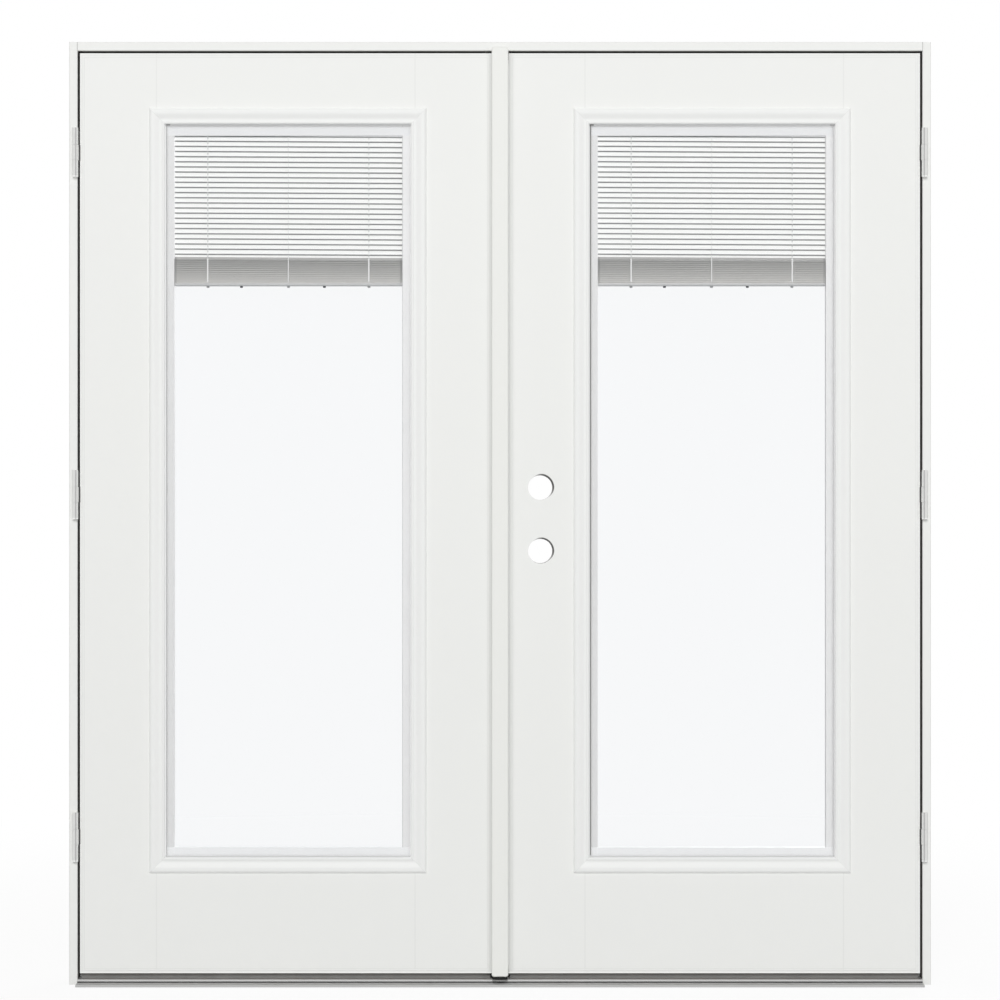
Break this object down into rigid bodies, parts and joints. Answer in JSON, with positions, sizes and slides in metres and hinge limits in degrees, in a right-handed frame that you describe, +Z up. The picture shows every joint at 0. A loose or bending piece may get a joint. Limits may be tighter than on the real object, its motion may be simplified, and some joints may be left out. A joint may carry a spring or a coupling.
{
  "type": "double hinged patio doors",
  "caption": "Double hinged patio doors in a frame with a sill; each leaf has one tall glazed panel holding a part-lowered slatted blind.",
  "frame": {"origin": "on the floor under the sill, midway between the jambs, in the plane of the frame's outdoor edge", "axes": "+X to the right seen from outdoors, +Y into the room, +Z up"},
  "size_m": [1.892, 0.155, 2.07],
  "materials": {
    "jamb_white": "painted white, satin",
    "strike_metal": "satin",
    "weatherstrip": "matt, soft foam under a thin skin",
    "sill_composite": "matt",
    "sill_metal": "mill finish, satin",
    "black_seal": "matt",
    "hinge_white": "painted white, satin",
    "leaf_wood": "bare, primed at the edges",
    "foam": "matt foam",
    "leaf_skin": "smooth white, satin",
    "lite_frame_white": "moulded white, satin",
    "glass": "clear",
    "spacer_white": "painted white",
    "blind_white": "painted white, satin",
    "cord": "braided",
    "knob_white": "moulded white",
    "astragal_white": "painted warm white, satin",
    "bolt_steel": "zinc plated"
  },
  "bodies": {
    "frame": {"left_jamb": "jamb_white", "right_jamb": "jamb_white", "head_jamb": "jamb_white", "head_strike": "strike_metal", "left_weatherstrip": "weatherstrip", "right_weatherstrip": "weatherstrip", "head_weatherstrip": "weatherstrip", "sill_base": "sill_composite", "sill_deck": "sill_metal", "sill_riser": "sill_metal", "sill_seal": "black_seal", "jamb_hinge_leaves": "hinge_white"},
    "inactive_leaf": {"left_door_hinge_leaves": "hinge_white", "left_hinge_stile": "leaf_wood", "left_lock_stile": "leaf_wood", "left_top_rail": "leaf_wood", "left_bottom_rail": "leaf_wood", "left_core": "foam", "left_outer_skin": "leaf_skin", "left_inner_skin": "leaf_skin", "left_bottom_sweep": "black_seal", "left_outer_lite_frame": "lite_frame_white", "left_inner_lite_frame": "lite_frame_white", "left_outer_pane": "glass", "left_inner_pane": "glass", "left_spacer": "spacer_white", "left_blind_headrail": "blind_white", "left_blind_slats": "blind_white", "left_ladder_cords": "cord", "left_blind_bottom_rail": "blind_white", "astragal_body": "leaf_wood", "astragal_nose": "astragal_white", "astragal_seal": "weatherstrip", "astragal_boot": "black_seal"},
    "active_leaf": {"right_door_hinge_leaves": "hinge_white", "right_hinge_stile": "leaf_wood", "right_lock_stile": "leaf_wood", "right_top_rail": "leaf_wood", "right_bottom_rail": "leaf_wood", "right_core": "foam", "right_outer_skin": "leaf_skin", "right_inner_skin": "leaf_skin", "right_bottom_sweep": "black_seal", "right_outer_lite_frame": "lite_frame_white", "right_inner_lite_frame": "lite_frame_white", "right_outer_pane": "glass", "right_inner_pane": "glass", "right_spacer": "spacer_white", "right_blind_headrail": "blind_white", "right_blind_slats": "blind_white", "right_ladder_cords": "cord", "right_blind_bottom_rail": "blind_white", "lock_block": "leaf_wood"},
    "top_bolt": {"top_flush_bolt": "bolt_steel"},
    "bottom_bolt": {"bottom_flush_bolt": "bolt_steel"},
    "left_tilt_slider": {"left_tilt_knob": "knob_white"},
    "left_lift_slider": {"left_lift_knob": "knob_white"},
    "right_tilt_slider": {"right_tilt_knob": "knob_white"},
    "right_lift_slider": {"right_lift_knob": "knob_white"}
  },
  "joints": [
    {"name": "active_hinge", "type": "hinge", "parent": "frame", "child": "active_leaf", "pos_m": [0.9314, -0.0073, 0], "axis": [0, 0, 1], "range_deg": [0, 180]},
    {"name": "inactive_hinge", "type": "hinge", "parent": "frame", "child": "inactive_leaf", "pos_m": [-0.9314, -0.0073, 0], "axis": [0, 0, -1], "range_deg": [0, 180]},
    {"name": "top_bolt_slide", "type": "slide", "parent": "inactive_leaf", "child": "top_bolt", "axis": [0, 0, 1], "range_m": [0, 0.0127]},
    {"name": "bottom_bolt_slide", "type": "slide", "parent": "inactive_leaf", "child": "bottom_bolt", "axis": [0, 0, -1], "range_m": [0, 0.0127]},
    {"name": "left_lift", "type": "slide", "parent": "inactive_leaf", "child": "left_lift_slider", "axis": [0, 0, 1], "range_m": [-0.333, 1.186]},
    {"name": "left_tilt", "type": "slide", "parent": "inactive_leaf", "child": "left_tilt_slider", "axis": [0, 0, 1], "range_m": [-0.06, 0.06]},
    {"name": "right_lift", "type": "slide", "parent": "active_leaf", "child": "right_lift_slider", "axis": [0, 0, 1], "range_m": [-0.333, 1.186]},
    {"name": "right_tilt", "type": "slide", "parent": "active_leaf", "child": "right_tilt_slider", "axis": [0, 0, 1], "range_m": [-0.06, 0.06]}
  ]
}
